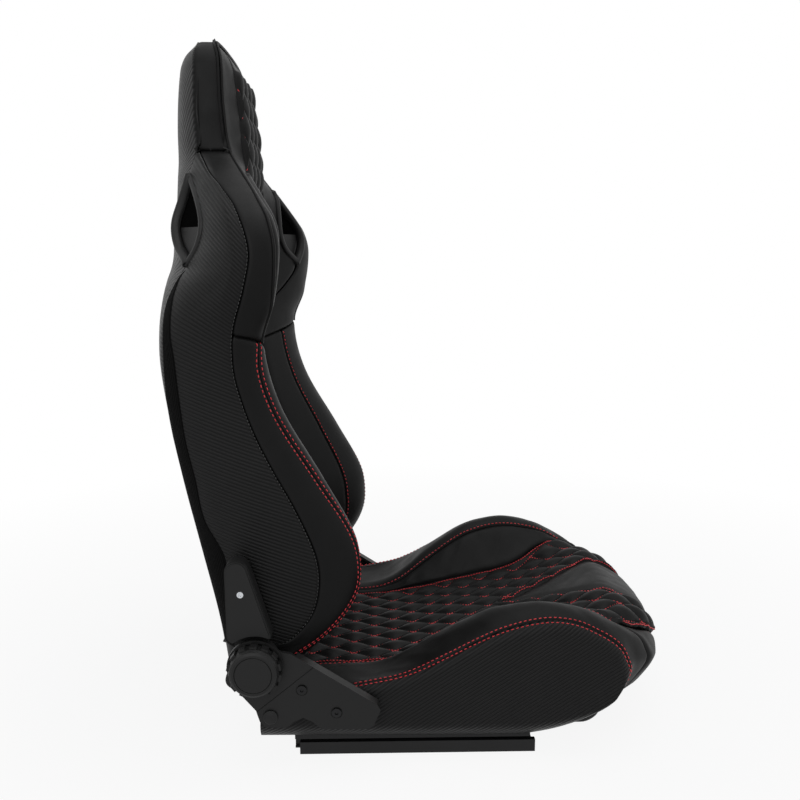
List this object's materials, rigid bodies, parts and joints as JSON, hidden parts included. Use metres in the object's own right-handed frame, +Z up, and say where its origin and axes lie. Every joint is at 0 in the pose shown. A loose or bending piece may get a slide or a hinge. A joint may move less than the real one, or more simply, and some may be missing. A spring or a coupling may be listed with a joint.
{
  "type": "racing seat",
  "caption": "Reclining bucket-style racing seat with integral headrest, harness slots, quilted centre, bolsters, rotary recliners and floor slides.",
  "frame": {"origin": "midway between the four floor bolt holes, on the floor face of the slide rails", "axes": "+Z up, -Y the way the occupant faces, +X the seat's own left"},
  "size_m": [0.6092, 0.7536, 0.989],
  "materials": {
    "rail_steel": "satin black e-coat",
    "grip_rubber": "matt moulded",
    "zinc_steel": "zinc plated",
    "frame_steel": "black powder coat",
    "spring_steel": "blackened spring wire",
    "moulded_plastic": "fine moulded texture",
    "black_bolts": "black oxide",
    "screw_steel": "bright zinc",
    "quilted_leather": "diamond quilted, red thread",
    "smooth_leather": "fine grain, semi matt",
    "carbon_vinyl": "embossed diagonal carbon weave"
  },
  "bodies": {
    "floor_rails": {"slider_lower_left": "rail_steel", "slider_lower_right": "rail_steel"},
    "carriage": {"slider_upper_left": "rail_steel", "slider_upper_right": "rail_steel", "cushion_frame": "frame_steel", "cushion_springs": "spring_steel", "side_plate_left": "frame_steel", "side_plate_right": "frame_steel", "bracket_cover_left": "moulded_plastic", "bracket_cover_right": "moulded_plastic", "bracket_bolts_left": "black_bolts", "bracket_bolts_right": "black_bolts", "recliner_fixed_left": "zinc_steel", "recliner_fixed_right": "zinc_steel", "cushion_pad": "quilted_leather", "thigh_bolster_left": "smooth_leather", "thigh_bolster_right": "smooth_leather", "cushion_side_left": "carbon_vinyl", "cushion_side_right": "carbon_vinyl"},
    "handle": {"slide_handle": "rail_steel", "handle_grip": "grip_rubber", "latch_left": "zinc_steel", "latch_right": "zinc_steel"},
    "recliner_drive": {"recliner_shaft": "zinc_steel", "knob_left": "moulded_plastic", "knob_right": "moulded_plastic"},
    "backrest": {"recliner_moving_left": "zinc_steel", "recliner_moving_right": "zinc_steel", "recliner_arm_left": "frame_steel", "recliner_arm_right": "frame_steel", "arm_cover_left": "moulded_plastic", "arm_cover_right": "moulded_plastic", "cover_screw_left": "screw_steel", "cover_screw_right": "screw_steel", "back_frame": "frame_steel", "back_springs": "spring_steel", "back_pad": "quilted_leather", "torso_bolster_left": "smooth_leather", "torso_bolster_right": "smooth_leather", "shoulder_wing_left": "smooth_leather", "shoulder_wing_right": "smooth_leather", "headrest_pad": "smooth_leather", "rear_panel": "carbon_vinyl", "slot_bezel_front_left": "moulded_plastic", "slot_bezel_front_right": "moulded_plastic", "slot_bezel_rear_left": "moulded_plastic", "slot_bezel_rear_right": "moulded_plastic"}
  },
  "joints": [
    {"name": "seat_slide", "type": "slide", "parent": "floor_rails", "child": "carriage", "axis": [0, -1, 0], "range_m": [-0.09, 0.1]},
    {"name": "handle_lift", "type": "hinge", "parent": "carriage", "child": "handle", "pos_m": [0, -0.06, 0.026], "axis": [-1, 0, 0], "range_deg": [0, 6], "stiffness_Nm_per_rad": 6, "springref_deg": -5.73},
    {"name": "back_recline", "type": "hinge", "parent": "carriage", "child": "backrest", "pos_m": [0, 0.219, 0.16], "axis": [-1, 0, 0], "range_deg": [-10, 55]},
    {"name": "knob_turn", "type": "hinge", "parent": "carriage", "child": "recliner_drive", "pos_m": [0, 0.219, 0.16], "axis": [-1, 0, 0], "range_deg": [-340, 1870]}
  ],
  "couplings": [
    {"joint": "knob_turn", "follows": "back_recline", "ratio": 34}
  ]
}
